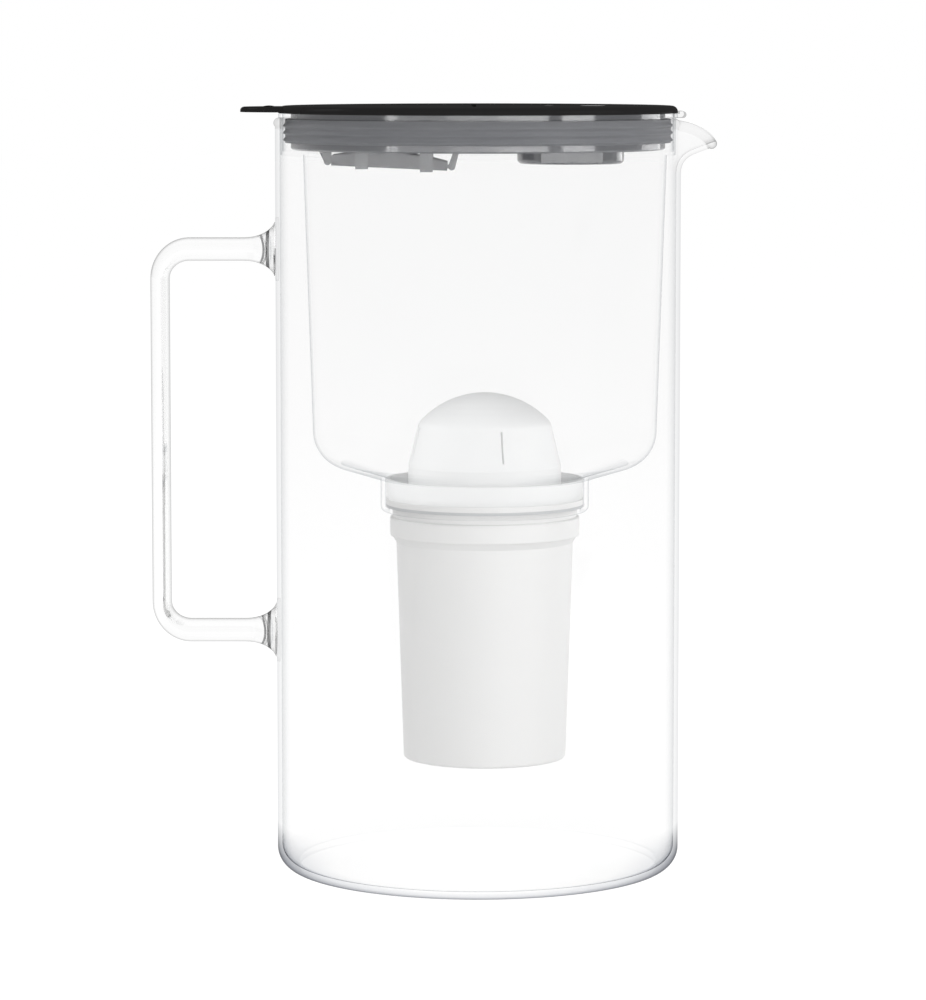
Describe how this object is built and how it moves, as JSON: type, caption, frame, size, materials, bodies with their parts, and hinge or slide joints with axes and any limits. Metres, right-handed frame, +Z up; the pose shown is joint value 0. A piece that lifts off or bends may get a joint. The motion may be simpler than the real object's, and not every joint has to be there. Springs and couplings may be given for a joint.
{
  "type": "water filter pitcher",
  "caption": "Clear cylindrical glass pitcher with a beak spout and square handle, a drop-in funnel with a filter cartridge, and a round lid with a flip-up flap.",
  "frame": {"origin": "centre of the flat base, on the surface that the jug stands on", "axes": "+Z up along the jug's axis, +X toward the spout, -X toward the handle, -Y toward the viewer of the picture"},
  "size_m": [0.1806, 0.1302, 0.245],
  "materials": {
    "clear_glass": "clear polished borosilicate glass",
    "clear_plastic": "clear glossy food-grade plastic",
    "white_plastic": "white satin plastic",
    "seal_silicone": "light grey silicone",
    "mesh_white": "white fine mesh",
    "media_black": "dark filter granules",
    "grey_plastic": "glossy mid-grey plastic",
    "gasket_grey": "matt grey silicone",
    "black_plastic": "glossy black plastic",
    "steel": "plain steel",
    "board_green": "green circuit board",
    "contact_metal": "plated spring metal",
    "lens_clear": "clear light pipe",
    "button_grey": "dark grey soft plastic"
  },
  "bodies": {
    "jug": {"glass_jug": "clear_glass", "glass_handle": "clear_glass"},
    "funnel": {"funnel": "clear_plastic"},
    "cartridge": {"cartridge_cup": "white_plastic", "cartridge_cap": "white_plastic", "cartridge_seal": "seal_silicone", "inlet_mesh": "mesh_white", "media_bed": "media_black", "outlet_mesh": "mesh_white"},
    "lid": {"lid_ring": "grey_plastic", "lid_gasket": "gasket_grey", "lid_cover": "black_plastic", "hinge_pin": "steel", "splash_plate": "grey_plastic", "indicator_cup": "grey_plastic", "indicator_board": "board_green", "coin_cell": "steel", "contact_plus": "contact_metal", "contact_minus": "contact_metal", "light_pipe": "lens_clear", "button_spring": "steel"},
    "flap": {"flip_lid": "black_plastic"},
    "button": {"reset_button": "button_grey"}
  },
  "joints": [
    {"name": "funnel_lift", "type": "slide", "parent": "jug", "child": "funnel", "axis": [0, 0, 1], "range_m": [0, 0.21]},
    {"name": "cartridge_lift", "type": "slide", "parent": "funnel", "child": "cartridge", "axis": [0, 0, 1], "range_m": [0, 0.065]},
    {"name": "lid_lift", "type": "slide", "parent": "funnel", "child": "lid", "axis": [0, 0, 1], "range_m": [0, 0.04]},
    {"name": "flip_lid_hinge", "type": "hinge", "parent": "lid", "child": "flap", "pos_m": [-0.003, 0, 0.2429], "axis": [0, 1, 0], "range_deg": [0, 95]},
    {"name": "reset_button_press", "type": "slide", "parent": "lid", "child": "button", "axis": [0, 0, -1], "range_m": [0, 0.0008], "stiffness_N_per_m": 400, "springref_m": -0.0008, "deforming": ["button_spring"]}
  ]
}
